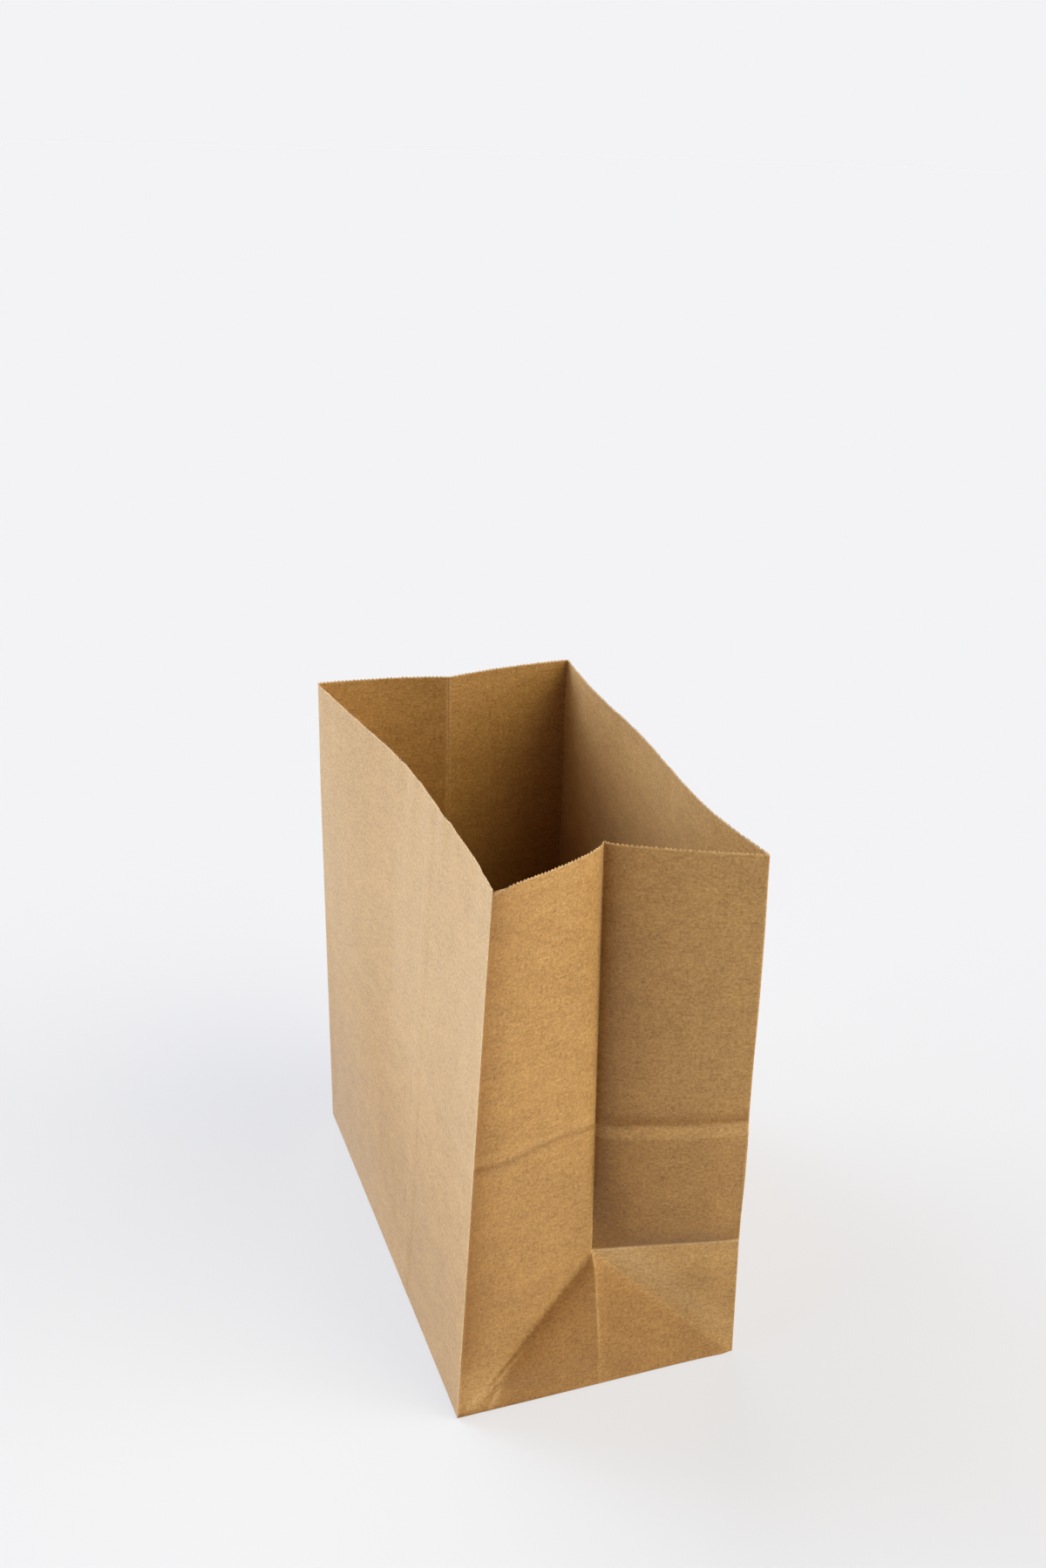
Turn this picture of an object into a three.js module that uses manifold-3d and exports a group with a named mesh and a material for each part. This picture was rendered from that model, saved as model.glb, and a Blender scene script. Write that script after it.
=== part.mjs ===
// Brown kraft paper bag with a square bottom and gusseted sides, standing open and empty.
// Units are millimetres, +Z is up. The origin is the middle of the base, on the surface it stands on.
// +X runs along the long side of the base, towards the gusset that is still folded in.
// The bag is one folded sheet, so it is one closed body: a thin wall all round, a glued lap seam
// down the front, the folded and glued bottom, and a saw-toothed rim.
import * as THREE from 'three';
import ManifoldModule from 'manifold-3d';

// ---- Sheet and base ----
const WIDTH = 305;             // long side of the base
const DEPTH = 174;             // short side of the base, and the full width of each gusset
const HEIGHT = 340;            // length of sheet from the base edge to the rim
const PAPER = 0.16;            // thickness of one layer
const FOLD_RADIUS = 1.2;       // round of the fold along the base edge
const FLAP = DEPTH / 2 + 20;   // how far each bottom flap reaches in from its fold

// ---- Lap seam on the front panel ----
const SEAM_START = 187.3;      // along the front panel, from its far corner
const SEAM_WIDTH = 14;
const SEAM_EDGE = 0.2;         // the cut edge of the upper layer
const SEAM_RAMP = 2;           // where the upper layer comes down off the lower one

// ---- Saw-toothed rim ----
const TOOTH_PITCH = 2.22;
const TOOTH_DEPTH = 0.9;
const RIM_BAND = 3;            // height of the strip that carries the teeth

// ---- How the bag stands open: the corner points of its panels, outside face ----
const BASE = {
  frontFar: [-WIDTH / 2, -DEPTH / 2, 0],
  frontNear: [WIDTH / 2, -DEPTH / 2, 0],
  backNear: [WIDTH / 2, DEPTH / 2, 0],
  backFar: [-WIDTH / 2, DEPTH / 2, 0],
};
const RIM = {
  frontFar: [-150, -91.5, 338.5],
  frontNear: [151, -73, 338.8],
  backNear: [153, 78, 338],
  backFar: [-149.5, 82.5, 338.6],
  gussetNear: [111, 2, 336.2],
  gussetFar: [-141.5, -5, 337.4],
};
// The bottom was once folded flat against the back panel, which left a crease half a depth up.
const CREASE = {
  backNear: [152.6, 83.6, 86],
  backFar: [-153, 84, 86],
  gussetNear: [133, -1, 84.4],
  gussetFar: [-147, -2, 85.4],
};
const CREASE_HEIGHT = DEPTH / 2;

// ---- How far the rim bows out of a straight line, as sine waves along a panel ----
const FRONT_BOW = [10.3, -0.6];       // inwards, one half wave and two
const BACK_BOW = [6, -1.8, 2.2];      // inwards, one half wave, two and three
const FRONT_HALF_BULGE = 3.8;         // the folded gusset's half beside the front panel, outwards
const BACK_HALF_BULGE = 1.2;          // and its half beside the back panel
const OPEN_GUSSET_POWER = 2.6;        // the open gusset curves in only close to its centre crease

// ---- Mesh rows and columns ----
const CELLS_HALF_GUSSET = 6;          // columns across half a gusset, and rows up to the crease
const CELLS_PANEL = 12;               // columns across a broad panel
const ROWS_ABOVE = [108, 134, 174, 218, 262, 302];
const FOLD_STEPS = 3;

const lerp = (a, b, t) => a + (b - a) * t;
const mix = (p, q, t) => [lerp(p[0], q[0], t), lerp(p[1], q[1], t), lerp(p[2], q[2], t)];

// Sum of sine waves, the first with one half wave over s from 0 to 1.
function waves(amplitudes, s) {
  return amplitudes.reduce((sum, a, k) => sum + a * Math.sin(Math.PI * (k + 1) * s), 0);
}

// ---- The four panels: each gives the point at s (0 to 1 along it) and height h on the sheet ----
function frontPanel(s, h) {
  const low = mix(BASE.frontFar, BASE.frontNear, s);
  const high = mix(RIM.frontFar, RIM.frontNear, s);
  high[1] += waves(FRONT_BOW, s);
  return mix(low, high, h / HEIGHT);
}

function backPanel(s, h) {
  const low = mix(BASE.backNear, BASE.backFar, s);
  const crease = mix(CREASE.backNear, CREASE.backFar, s);
  if (h <= CREASE_HEIGHT) {
    return mix(low, crease, h / CREASE_HEIGHT);
  }
  const high = mix(RIM.backNear, RIM.backFar, s);
  high[1] -= waves(BACK_BOW, 1 - s);
  return mix(crease, high, (h - CREASE_HEIGHT) / (HEIGHT - CREASE_HEIGHT));
}

// Half a gusset, from its corner (q = 0) to its centre crease (q = 1).
// Below the diagonal fold it is the flat triangle that leans in from the base edge.
// A half beside the back panel is also creased level with the top of that triangle.
function halfGusset(corner, top, apex, rimCentre, rimCurve, sideCrease, q, h) {
  const middle = [corner[0], 0, 0];
  const fold = q * CREASE_HEIGHT;
  if (h <= fold) {
    const up = h / CREASE_HEIGHT;
    const onBase = mix(corner, middle, q);
    const lean = [apex[0] - middle[0], apex[1], apex[2]];
    return [onBase[0] + lean[0] * up, onBase[1] + lean[1] * up, lean[2] * up];
  }
  const high = rimCurve(mix(top, rimCentre, q), q);
  if (!sideCrease) {
    return mix(mix(corner, apex, q), high, (h - fold) / (HEIGHT - fold));
  }
  if (h <= CREASE_HEIGHT) {
    // flat triangle between the base corner, the creased edge and the apex
    const rise = h / CREASE_HEIGHT;
    return mix(mix(corner, sideCrease, rise), mix(corner, apex, rise), q / rise);
  }
  const creased = mix(sideCrease, apex, q);
  return mix(creased, high, (h - CREASE_HEIGHT) / (HEIGHT - CREASE_HEIGHT));
}

function foldedRim(bulge) {
  return (point, q) => [
    point[0] + bulge * Math.sin(Math.PI * q),
    point[1],
    point[2],
  ];
}

function openRim(corner) {
  return (point, q) => [
    lerp(corner[0], RIM.gussetFar[0], q ** OPEN_GUSSET_POWER),
    point[1],
    point[2],
  ];
}

function nearGusset(s, h) {
  if (s <= 0.5) {
    return halfGusset(BASE.frontNear, RIM.frontNear, CREASE.gussetNear, RIM.gussetNear,
      foldedRim(FRONT_HALF_BULGE), null, 2 * s, h);
  }
  return halfGusset(BASE.backNear, RIM.backNear, CREASE.gussetNear, RIM.gussetNear,
    foldedRim(BACK_HALF_BULGE), CREASE.backNear, 2 - 2 * s, h);
}

function farGusset(s, h) {
  if (s < 0.5) {
    return halfGusset(BASE.backFar, RIM.backFar, CREASE.gussetFar, RIM.gussetFar,
      openRim(RIM.backFar), CREASE.backFar, 2 * s, h);
  }
  return halfGusset(BASE.frontFar, RIM.frontFar, CREASE.gussetFar, RIM.gussetFar,
    openRim(RIM.frontFar), null, 2 - 2 * s, h);
}

// ---- Columns all round the bag, as panel and s, with the extra layer of the lap seam ----
const seamEnd = SEAM_START + SEAM_WIDTH;
const seamStops = [
  [SEAM_START, 0],
  [SEAM_START + SEAM_EDGE, 1],
  [seamEnd - SEAM_RAMP, 1],
  [seamEnd, 0],
];

function evenColumns(panel, count, length) {
  return Array.from({ length: count }, (_, i) => ({ panel, s: i / count, length, layer: 0 }));
}

function frontColumns() {
  const clear = WIDTH / CELLS_PANEL / 4;
  const plain = evenColumns(frontPanel, CELLS_PANEL, WIDTH).filter(({ s }) =>
    s * WIDTH < SEAM_START - clear || s * WIDTH > seamEnd + clear);
  const seam = seamStops.map(([at, layer]) =>
    ({ panel: frontPanel, s: at / WIDTH, length: WIDTH, layer }));
  return [...plain, ...seam].sort((a, b) => a.s - b.s);
}

const columns = [
  ...frontColumns(),
  ...evenColumns(nearGusset, 2 * CELLS_HALF_GUSSET, DEPTH),
  ...evenColumns(backPanel, CELLS_PANEL, WIDTH),
  ...evenColumns(farGusset, 2 * CELLS_HALF_GUSSET, DEPTH),
];

// ---- Rim points: each column gap is cut into half teeth, tips and notches by turns ----
function rimPoints() {
  const points = [];
  columns.forEach((column, i) => {
    const next = columns[(i + 1) % columns.length];
    const endS = next.panel === column.panel ? next.s : 1;
    const gap = (endS - column.s) * column.length;
    const steps = Math.max(1, Math.round(gap / (TOOTH_PITCH / 2)));
    for (let k = 0; k < steps; k += 1) {
      points.push({
        panel: column.panel,
        s: lerp(column.s, endS, k / steps),
        layer: lerp(column.layer, next.layer, k / steps),
        column: i,
      });
    }
  });
  if (points.length % 2 === 1) {
    points.splice(1, 1);
  }
  return points.map((p, k) => ({ ...p, h: k % 2 === 0 ? HEIGHT - TOOTH_DEPTH : HEIGHT }));
}

// ---- One face of the wall as rings of points ----
const UNDERSIDE = 2 * PAPER;             // the two glued flaps lie below this level
const FOLD_CENTRE = UNDERSIDE + FOLD_RADIUS;
const creaseRows = Array.from({ length: CELLS_HALF_GUSSET - 1 },
  (_, k) => (CREASE_HEIGHT * (k + 1)) / CELLS_HALF_GUSSET);
const rowHeights = [FOLD_CENTRE, ...creaseRows, CREASE_HEIGHT, ...ROWS_ABOVE, HEIGHT - RIM_BAND];
const wallRings = rowHeights.map((h) => columns.map(({ panel, s }) => panel(s, h)));
const rim = rimPoints();
const rimRing = rim.map(({ panel, s, h }) => panel(s, h));

// Triangles between two rings with the same number of points.
function band(lower, upper, count) {
  const faces = [];
  for (let i = 0; i < count; i += 1) {
    const j = (i + 1) % count;
    // in the first half of a gusset the diagonal fold rises along the ring, in the second it falls
    if (columns[i].s < 0.5) {
      faces.push([lower + i, lower + j, upper + j], [lower + i, upper + j, upper + i]);
    } else {
      faces.push([lower + i, lower + j, upper + i], [lower + j, upper + j, upper + i]);
    }
  }
  return faces;
}

// Triangles from a ring of columns up to the ring of rim points.
function toothBand(lower, upper) {
  const faces = [];
  rim.forEach((point, k) => {
    const next = rim[(k + 1) % rim.length];
    const here = lower + point.column;
    faces.push([here, upper + ((k + 1) % rim.length), upper + k]);
    if (next.column !== point.column) {
      const there = lower + next.column;
      faces.push([here, there, upper + ((k + 1) % rim.length)]);
    }
  });
  return faces;
}

const ringStarts = wallRings.map((_, r) => r * columns.length);
const rimStart = wallRings.length * columns.length;
const wallPoints = [...wallRings.flat(), ...rimRing];
const wallFaces = [
  ...ringStarts.slice(1).flatMap((start, r) => band(ringStarts[r], start, columns.length)),
  ...toothBand(ringStarts.at(-1), rimStart),
];

// Outward direction at every wall point, from the faces that meet there.
function pointNormals(points, faces) {
  const sums = points.map(() => new THREE.Vector3());
  const edgeA = new THREE.Vector3();
  const edgeB = new THREE.Vector3();
  faces.forEach(([a, b, c]) => {
    const corners = [a, b, c].map((i) => new THREE.Vector3(...points[i]));
    edgeA.subVectors(corners[1], corners[0]);
    edgeB.subVectors(corners[2], corners[0]);
    const normal = edgeA.clone().cross(edgeB);
    [a, b, c].forEach((i) => sums[i].add(normal));
  });
  return sums.map((n) => n.normalize());
}

const normals = pointNormals(wallPoints, wallFaces);
const layers = [...wallRings.flatMap(() => columns.map((c) => c.layer)), ...rim.map((p) => p.layer)];
const offset = (point, normal, d) => [
  point[0] + normal.x * d,
  point[1] + normal.y * d,
  point[2] + normal.z * d,
];
const outerWall = wallPoints.map((p, i) => offset(p, normals[i], layers[i] * PAPER));
const innerWall = wallPoints.map((p, i) => offset(p, normals[i], -PAPER));

// ---- Fold along the base edge: quarter circles about a line inset by the fold radius ----
function foldRings(radius) {
  const rings = [];
  for (let k = 0; k < FOLD_STEPS; k += 1) {
    const angle = (Math.PI / 2) * (k / FOLD_STEPS);
    rings.push(columns.map(({ panel, s }) => {
      const edge = panel(s, 0);
      const inset = [
        edge[0] * (1 - (2 * FOLD_RADIUS) / WIDTH),
        edge[1] * (1 - (2 * FOLD_RADIUS) / DEPTH),
      ];
      const reach = (Math.sin(angle) * radius) / FOLD_RADIUS;
      return [
        lerp(inset[0], edge[0], reach),
        lerp(inset[1], edge[1], reach),
        FOLD_CENTRE - Math.cos(angle) * radius,
      ];
    }));
  }
  return rings;
}

// ---- Solids ----
const wasm = await ManifoldModule();
wasm.setup();

function solid(points, faces) {
  const made = new wasm.Manifold(new wasm.Mesh({
    numProp: 3,
    vertProperties: new Float32Array(points.flat()),
    triVerts: new Uint32Array(faces.flat()),
  }));
  return made;
}

// The wall and the innermost layer of the bottom, as an outer skin and an inner skin.
function bagShell() {
  const count = columns.length;
  const points = [];
  const faces = [];
  const addSkin = (wall, radius, outward) => {
    const start = points.length;
    const folds = foldRings(radius);
    points.push([0, 0, FOLD_CENTRE - radius], ...folds.flat(), ...wall);
    const skin = [];
    for (let i = 0; i < count; i += 1) {
      skin.push([0, 1 + ((i + 1) % count), 1 + i]);
    }
    for (let k = 0; k < FOLD_STEPS; k += 1) {
      skin.push(...band(1 + k * count, 1 + (k + 1) * count, count));
    }
    const wallStart = 1 + FOLD_STEPS * count;
    skin.push(...wallFaces.map((f) => f.map((i) => i + wallStart)));
    const turned = outward ? skin : skin.map(([a, b, c]) => [a, c, b]);
    faces.push(...turned.map((f) => f.map((i) => i + start)));
    return start + wallStart + rimStart;
  };
  const outerRim = addSkin(outerWall, FOLD_RADIUS, true);
  const innerRim = addSkin(innerWall, FOLD_RADIUS - PAPER, false);
  rim.forEach((_, k) => {
    const next = (k + 1) % rim.length;
    faces.push([outerRim + k, outerRim + next, innerRim + next]);
    faces.push([outerRim + k, innerRim + next, innerRim + k]);
  });
  return solid(points, faces);
}

// A flat layer with the given outline, counter-clockwise seen from above.
function layer(outline, low, high) {
  const n = outline.length;
  const points = [...outline.map(([x, y]) => [x, y, low]), ...outline.map(([x, y]) => [x, y, high])];
  const faces = [];
  for (let i = 0; i < n; i += 1) {
    const j = (i + 1) % n;
    faces.push([i, j, n + j], [i, n + j, n + i]);
  }
  for (let i = 1; i < n - 1; i += 1) {
    faces.push([0, i + 1, i], [n, n + i, n + i + 1]);
  }
  return solid(points, faces);
}

// ---- Folded bottom: gusset strips inside, then two flaps with mitred ends, glued together ----
const GLUE = 0.02;                          // each layer sinks this far into the next
const insetX = WIDTH / 2 - FOLD_RADIUS;
const insetY = DEPTH / 2 - FOLD_RADIUS;
const flapDepth = FLAP - FOLD_RADIUS;
const flapOutline = (side) => {
  const points = [
    [-insetX, -insetY],
    [insetX, -insetY],
    [insetX - flapDepth, -insetY + flapDepth],
    [-insetX + flapDepth, -insetY + flapDepth],
  ];
  return points.map(([x, y]) => [x * side, y * side]);
};
const stripOutline = (side) => {
  const points = [
    [insetX - flapDepth, -insetY],
    [insetX, -insetY],
    [insetX, insetY],
    [insetX - flapDepth, insetY],
  ];
  return points.map(([x, y]) => [x * side, y * side]);
};
const backFlap = layer(flapOutline(-1), 0, UNDERSIDE + GLUE);
const frontFlap = layer(flapOutline(1), PAPER, UNDERSIDE + GLUE);
const floorTop = UNDERSIDE + PAPER;
const strips = [1, -1].map((side) => layer(stripOutline(side), floorTop - GLUE, floorTop + PAPER));

const bag = wasm.Manifold.union([bagShell(), backFlap, frontFlap, ...strips]);

// ---- Mesh ----
function geometryOf(body) {
  const mesh = body.getMesh();
  const geometry = new THREE.BufferGeometry();
  geometry.setAttribute('position', new THREE.BufferAttribute(mesh.vertProperties, 3));
  geometry.setIndex(new THREE.BufferAttribute(mesh.triVerts, 1));
  return geometry.toNonIndexed();
}

const geometry = geometryOf(bag);
geometry.computeVertexNormals();
const kraftPaper = new THREE.MeshStandardMaterial({
  color: 0xb98d5c,
  roughness: 0.88,
  metalness: 0,
});
const paperBag = new THREE.Mesh(geometry, kraftPaper);
paperBag.name = 'paper_bag';

const group = new THREE.Group();
group.name = 'kraft_paper_bag';
group.add(paperBag);

export default group;
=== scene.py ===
"""Brown kraft paper bag with gusseted sides and a folded square bottom, standing open and empty."""

import bpy
import numpy as np
from mathutils import Matrix


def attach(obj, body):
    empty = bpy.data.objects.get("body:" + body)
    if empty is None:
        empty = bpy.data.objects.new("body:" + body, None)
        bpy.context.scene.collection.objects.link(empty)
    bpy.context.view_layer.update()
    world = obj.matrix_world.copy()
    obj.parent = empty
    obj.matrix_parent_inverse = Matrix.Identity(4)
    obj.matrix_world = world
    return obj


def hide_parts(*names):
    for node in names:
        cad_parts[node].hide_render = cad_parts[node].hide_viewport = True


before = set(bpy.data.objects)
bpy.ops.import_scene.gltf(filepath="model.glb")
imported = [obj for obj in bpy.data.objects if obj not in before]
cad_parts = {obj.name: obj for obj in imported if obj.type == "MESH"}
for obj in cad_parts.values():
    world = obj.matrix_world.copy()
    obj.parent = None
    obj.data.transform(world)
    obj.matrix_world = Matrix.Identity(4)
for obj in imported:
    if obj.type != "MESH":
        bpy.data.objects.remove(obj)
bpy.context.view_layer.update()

# ---------------------------------------------------------------- the sheet
# The bag is one tube of brown kraft paper, glued down a lap seam on the front panel, pleated at
# both sides and cut to length by a toothed knife. Its bottom is folded square and pasted.
# Lengths here are metres; u runs round the tube from the far front corner, h up from the base edge.
WIDTH = 0.305
DEPTH = 0.174
HEIGHT = 0.340
PAPER = 0.00016
CREASE_HEIGHT = DEPTH / 2
AROUND = 2 * (WIDTH + DEPTH)
FRONT_NEAR = WIDTH
GUSSET_NEAR = WIDTH + DEPTH / 2
BACK_NEAR = WIDTH + DEPTH
BACK_FAR = 2 * WIDTH + DEPTH
GUSSET_FAR = AROUND - DEPTH / 2


def mm(x, y, z):
    """A point given in millimetres, in metres."""
    return np.array([x, y, z]) / 1000.0


BASE = {
    "front_far": mm(-152.5, -87, 0),
    "front_near": mm(152.5, -87, 0),
    "back_near": mm(152.5, 87, 0),
    "back_far": mm(-152.5, 87, 0),
}
RIM = {
    "front_far": mm(-150, -91.5, 338.5),
    "front_near": mm(151, -73, 338.8),
    "back_near": mm(153, 78, 338),
    "back_far": mm(-149.5, 82.5, 338.6),
    "gusset_near": mm(111, 2, 336.2),
    "gusset_far": mm(-141.5, -5, 337.4),
}
CREASE = {
    "back_near": mm(152.6, 83.6, 86),
    "back_far": mm(-153, 84, 86),
    "gusset_near": mm(133, -1, 84.4),
    "gusset_far": mm(-147, -2, 85.4),
}
# the rims of the broad panels bow outwards as sums of sine waves, with these heights
FRONT_BOW = (0.0103, -0.0006, -0.0002, -0.0004, 0.0005)
BACK_BOW = (0.0060, -0.0018, 0.0022)
# the near pleat's halves bulge at the rim; the far pleat's rim turns in only near its centre
FRONT_HALF_BULGE = 0.0038
BACK_HALF_BULGE = 0.0012
FAR_RIM_POWER = 2.6


def mix(p, q, t):
    """The straight line from p to q, at share t."""
    return p + (q - p) * np.asarray(t)[..., None]


def waves(amplitudes, s):
    """Sum of sine waves over s from 0 to 1, the first with one half wave."""
    return sum(a * np.sin(np.pi * (k + 1) * s) for k, a in enumerate(amplitudes))


def front_panel(s, h):
    """Ruled surface from the base edge to the bowed rim."""
    high = mix(RIM["front_far"], RIM["front_near"], s)
    high[..., 1] += waves(FRONT_BOW, s)
    low = mix(BASE["front_far"], BASE["front_near"], s)
    return low + (high - low) * (h / HEIGHT)[..., None]


def back_panel(s, h):
    """Two ruled surfaces, from the base edge to the bottom crease and on to the bowed rim."""
    low = mix(BASE["back_near"], BASE["back_far"], s)
    crease = mix(CREASE["back_near"], CREASE["back_far"], s)
    high = mix(RIM["back_near"], RIM["back_far"], s)
    high[..., 1] -= waves(BACK_BOW, 1 - s)
    lower = low + (crease - low) * (h / CREASE_HEIGHT)[..., None]
    share = (h - CREASE_HEIGHT) / (HEIGHT - CREASE_HEIGHT)
    upper = crease + (high - crease) * share[..., None]
    return np.where((h <= CREASE_HEIGHT)[..., None], lower, upper)


def half_gusset(q, h, corner, rim_corner, apex, rim_centre, bulge, power, side_crease=None):
    """Half a pleat, from its corner (q = 0) to its centre crease (q = 1). Under the diagonal
    h = q * CREASE_HEIGHT lies a flat triangle; above it a ruled surface runs up to the rim.
    The rim is straight from corner to centre, or for power > 1 turns in only near the centre."""
    fold = q * CREASE_HEIGHT
    middle = corner * np.array([1, 0, 1])
    triangle = mix(corner, middle, q) + (apex - middle) * (h / CREASE_HEIGHT)[..., None]
    high = mix(rim_corner, rim_centre, q)
    high[..., 0] = rim_corner[0] + (rim_centre[0] - rim_corner[0]) * q**power
    high[..., 0] += bulge * np.sin(np.pi * q)
    if side_crease is None:
        low = mix(corner, apex, q)
        above = low + (high - low) * ((h - fold) / (HEIGHT - fold))[..., None]
        return np.where((h <= fold)[..., None], triangle, above)
    rise = np.clip(h / CREASE_HEIGHT, 1e-6, 1)
    across = np.clip(q / rise, 0, 1)[..., None]
    between = mix(corner, side_crease, rise)
    between = between + (mix(corner, apex, rise) - between) * across
    creased = mix(side_crease, apex, q)
    share = (h - CREASE_HEIGHT) / (HEIGHT - CREASE_HEIGHT)
    above = creased + (high - creased) * share[..., None]
    side = np.where((h <= CREASE_HEIGHT)[..., None], between, above)
    return np.where((h <= fold)[..., None], triangle, side)


def flat_sheet(u, h):
    """The folded tube with sharp creases and plain panels: picks each point's panel by u."""
    u = np.mod(u, AROUND)
    near, far = (u - FRONT_NEAR) / (DEPTH / 2), (u - BACK_FAR) / (DEPTH / 2)
    pick = [
        (u < FRONT_NEAR, front_panel(u / WIDTH, h)),
        (
            u < GUSSET_NEAR,
            half_gusset(
                np.clip(near, 0, 1), h, BASE["front_near"], RIM["front_near"],
                CREASE["gusset_near"], RIM["gusset_near"], FRONT_HALF_BULGE, 1.0,
            ),
        ),
        (
            u < BACK_NEAR,
            half_gusset(
                np.clip(2 - near, 0, 1), h, BASE["back_near"], RIM["back_near"],
                CREASE["gusset_near"], RIM["gusset_near"], BACK_HALF_BULGE, 1.0,
                CREASE["back_near"],
            ),
        ),
        (u < BACK_FAR, back_panel((u - BACK_NEAR) / WIDTH, h)),
        (
            u < GUSSET_FAR,
            half_gusset(
                np.clip(far, 0, 1), h, BASE["back_far"], RIM["back_far"],
                CREASE["gusset_far"], RIM["gusset_far"], 0.0, FAR_RIM_POWER,
                CREASE["back_far"],
            ),
        ),
        (
            u <= AROUND,
            half_gusset(
                np.clip(2 - far, 0, 1), h, BASE["front_far"], RIM["front_far"],
                CREASE["gusset_far"], RIM["gusset_far"], 0.0, FAR_RIM_POWER,
            ),
        ),
    ]
    return np.select([p[0][..., None] for p in pick], [p[1] for p in pick])


def round_off(x, radius):
    """How far a crease at x = 0 is rounded: sqrt(x^2 + r^2) - |x|."""
    return np.sqrt(x * x + radius * radius) - np.abs(x)


def hump(x, reach):
    """Rises from 0 at x = 0 to 1 at x = reach and dies away: (x/r) exp(1 - x/r), for x > 0."""
    share = np.clip(x, 0, None) / reach
    return share * np.exp(1 - share)


def bell(x, reach):
    """1 at x = 0, falling to 1/e at x = reach: exp(-(x/r)^2)."""
    return np.exp(-((x / reach) ** 2))


def step(x, low, high):
    """Smooth rise from 0 at low to 1 at high."""
    share = np.clip((x - low) / (high - low), 0, 1)
    return share * share * (3 - 2 * share)


SPAN = 0.004  # the creases' directions are measured this far to each side
CREASE_REACH = 0.03  # and a crease rounds the paper no further off than this


def rounded_sheet(u, h):
    """flat_sheet with its creases rounded: across each crease the sharp bend between the
    directions e1 and e2 becomes the curve (e2 - e1) / 2 * round_off."""
    shape = flat_sheet(u, h)
    # corner folds, which open out towards the rim
    top = step(h, 0.25, HEIGHT)
    upright = {
        0.0: 0.0007 + 0.0012 * top,
        FRONT_NEAR: 0.0004 + 0.0012 * top**2,
        BACK_NEAR: 0.0005 + 0.0006 * top,
        BACK_FAR: 0.0006 + 0.0010 * top,
    }
    for at, radius in upright.items():
        x = np.mod(u - at + AROUND / 2, AROUND) - AROUND / 2
        here = flat_sheet(np.full_like(u, at), h)
        ahead = (flat_sheet(np.full_like(u, at + SPAN), h) - here) / SPAN
        behind = (here - flat_sheet(np.full_like(u, at - SPAN), h)) / SPAN
        amount = np.where(np.abs(x) < CREASE_REACH, round_off(x, radius), 0)
        shape = shape + (ahead - behind) / 2 * amount[..., None]
    # centre creases of the pleats, above the bottom crease
    for at, radius in ((GUSSET_NEAR, 0.0003), (GUSSET_FAR, 0.0016)):
        x = u - at
        here = flat_sheet(np.full_like(u, at), h)
        ahead = (flat_sheet(np.full_like(u, at + SPAN), h) - here) / SPAN
        behind = (here - flat_sheet(np.full_like(u, at - SPAN), h)) / SPAN
        over = step(h, CREASE_HEIGHT - 0.002, CREASE_HEIGHT + 0.004)
        amount = np.where(np.abs(x) < CREASE_REACH, round_off(x, radius), 0) * over
        shape = shape + (ahead - behind) / 2 * amount[..., None]
    # diagonal folds of the pleats, sharp at the apex and soft towards the base corners
    for centre in (GUSSET_NEAR, GUSSET_FAR):
        q = 1 - np.abs(u - centre) / (DEPTH / 2)
        inside = q > 0
        fold = np.clip(q, 0, 1) * CREASE_HEIGHT
        here = flat_sheet(u, fold)
        ahead = (flat_sheet(u, fold + SPAN) - here) / SPAN
        behind = (here - flat_sheet(u, np.clip(fold - SPAN, 0, None))) / SPAN
        soft = 0.0009 + 0.011 * step(1 - q, 0.35, 0.9)
        fade = step(fold, 0.0, 2 * SPAN)
        amount = np.where(inside, round_off(h - fold, soft), 0) * fade
        shape = shape + (ahead - behind) / 2 * amount[..., None]
    return shape


# The lap seam on the front panel, and the marks that the bottom left while it lay folded up
# against the near pleat: a straight band on the back half and a wavy line on the front half.
SEAM_START = 0.1873
SEAM_END = 0.2013
BAND_LOW = 0.1628
BAND_HIGH = 0.1706
WAVY_LINE = 0.1712
FRONT_FANS = ((1.08, 0.003), (0.45, 0.019))  # slope and offset of the fine creases at the corner


def swell(x, *parts):
    """Sum of humps beside x = 0, each given as its height and its reach."""
    return sum(height * hump(x, reach) for height, reach in parts)


def near_pleat(u, h):
    """The near pleat's own coordinates: q is 0 at its corners and 1 at its centre crease, and
    under is the distance below the diagonal h = q * CREASE_HEIGHT, negative above it."""
    q = np.clip(1 - np.abs(u - GUSSET_NEAR) / (DEPTH / 2), 0, 1)
    return q, (q * CREASE_HEIGHT - h) / np.sqrt(2)


def above_wavy_line(u, h):
    """Height above the wavy line, which is a level line plus a sine wave along u."""
    return h - WAVY_LINE - 0.0012 * np.sin(u / 0.011)


def beside_fan(u, h, slope, offset):
    """Distance along u from a fine crease that rises from the front near corner."""
    return (u - FRONT_NEAR) - slope * h - offset


rng = np.random.default_rng(41)
RIPPLES = [
    (rng.uniform(14, 60), rng.uniform(3, 16), rng.uniform(0, 2 * np.pi), rng.uniform(0.4, 1.0))
    for _ in range(10)
]


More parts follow.
